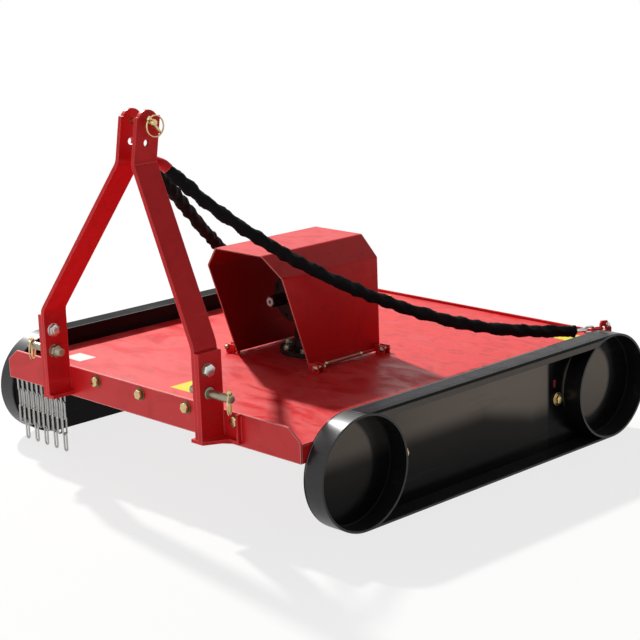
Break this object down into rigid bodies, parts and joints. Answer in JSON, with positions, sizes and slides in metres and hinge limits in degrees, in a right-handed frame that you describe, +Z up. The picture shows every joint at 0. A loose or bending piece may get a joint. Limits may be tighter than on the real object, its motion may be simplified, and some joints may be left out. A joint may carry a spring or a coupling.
{
  "type": "rotary slasher",
  "caption": "Tractor-mounted rotary slasher: steel deck on drum-ended skids, A-frame mast, guarded gearbox, swinging blades and a chain curtain.",
  "frame": {"origin": "on the ground under the middle of the machine's outline", "axes": "+X is the machine's left, -Y is the way it travels, +Z is up"},
  "size_m": [1.368, 1.3855, 1.017],
  "materials": {
    "red_paint": "gloss",
    "black_paint": "high gloss",
    "bright_zinc": "zinc plated",
    "yellow_zinc": "yellow zinc plated",
    "pin_steel": "plated",
    "cast_housing": "painted black",
    "shaft_steel": "machined",
    "blade_steel": "satin",
    "sleeve_fabric": "woven"
  },
  "bodies": {
    "frame": {"deck_sheet": "red_paint", "front_chain_rail": "red_paint", "front_chains": "bright_zinc", "front_plate": "red_paint", "gearbox_base": "cast_housing", "gearbox_housing": "cast_housing", "guard_hood": "red_paint", "left_deck_side": "red_paint", "left_front_drum": "black_paint", "left_guard_mount": "red_paint", "left_hitch_bracket": "red_paint", "left_linch_pin": "yellow_zinc", "left_lower_hitch_pin": "pin_steel", "left_mast_bolt": "bright_zinc", "left_mast_leg": "red_paint", "left_rear_drum": "black_paint", "left_runner": "black_paint", "left_skid_web": "black_paint", "left_stay_links": "bright_zinc", "left_stay_lug": "red_paint", "left_stay_sleeve": "sleeve_fabric", "left_top_rail": "black_paint", "mast_bridge": "red_paint", "rear_plate": "red_paint", "right_deck_side": "red_paint", "right_front_drum": "black_paint", "right_guard_mount": "red_paint", "right_hitch_bracket": "red_paint", "right_linch_pin": "yellow_zinc", "right_lower_hitch_pin": "pin_steel", "right_mast_bolt": "bright_zinc", "right_mast_leg": "red_paint", "right_rear_drum": "black_paint", "right_runner": "black_paint", "right_skid_web": "black_paint", "right_stay_links": "bright_zinc", "right_stay_lug": "red_paint", "right_stay_sleeve": "sleeve_fabric", "right_top_rail": "black_paint", "stay_guide_tube": "red_paint", "top_linch_pin": "yellow_zinc", "top_link_pin": "pin_steel"},
    "rotor": {"rotor_shaft": "shaft_steel", "blade_carrier": "blade_steel", "blade_bolt_1": "blade_steel", "blade_bolt_2": "blade_steel"},
    "blade_one": {"blade_1": "blade_steel"},
    "blade_two": {"blade_2": "blade_steel"},
    "input": {"input_shaft": "shaft_steel"}
  },
  "joints": [
    {"name": "rotor_spin", "type": "hinge", "parent": "frame", "child": "rotor", "pos_m": [0, 0.0365, 0.2], "axis": [0, 0, 1], "continuous": true},
    {"name": "blade_1_swing", "type": "hinge", "parent": "rotor", "child": "blade_one", "pos_m": [0.33, 0.0365, 0.117], "axis": [0, 0, 1], "continuous": true},
    {"name": "blade_2_swing", "type": "hinge", "parent": "rotor", "child": "blade_two", "pos_m": [-0.33, 0.0365, 0.117], "axis": [0, 0, 1], "continuous": true},
    {"name": "input_spin", "type": "hinge", "parent": "frame", "child": "input", "pos_m": [0, -0.11, 0.425], "axis": [0, 1, 0], "continuous": true}
  ],
  "couplings": [
    {"joint": "input_spin", "follows": "rotor_spin", "ratio": 0.5181}
  ]
}
